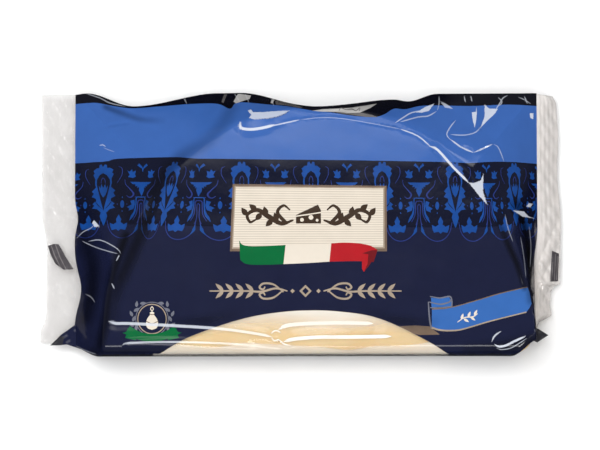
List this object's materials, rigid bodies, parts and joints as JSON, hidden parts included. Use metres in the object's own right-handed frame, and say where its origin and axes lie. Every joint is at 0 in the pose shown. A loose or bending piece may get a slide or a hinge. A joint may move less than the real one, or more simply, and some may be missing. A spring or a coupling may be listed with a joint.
{
  "type": "packed provolone cheese slab",
  "caption": "Half-round slab of pale cheese in a glossy printed flow-wrap with crimped clear end seals and a clear window over its cut side.",
  "frame": {"origin": "middle of the pack's footprint, on the surface that its back lies on", "axes": "+X along the slab's straight cut, from the left end seal to the right one; +Y from the cut side to the round side; +Z out of the printed front"},
  "size_m": [0.206, 0.1046, 0.025],
  "materials": {
    "printed_film": "glossy navy print on thin plastic film, drawn tight and creased",
    "cheese": "smooth pale yellow semi-hard cheese, faintly moist, with small marks of the cut",
    "clear_film": "clear glossy film, in the window and in the crimped end seals",
    "blue_print": "mid-blue print under gloss film: the band, the ribbon and the ornament",
    "cream_print": "cream and white print under gloss film, with fine lines",
    "gold_print": "muted grey-gold print under gloss film",
    "green_print": "green print under gloss film",
    "red_print": "red print under gloss film"
  },
  "bodies": {
    "root": {"film_wrapper": "printed_film", "cheese": "cheese"}
  },
  "joints": []
}
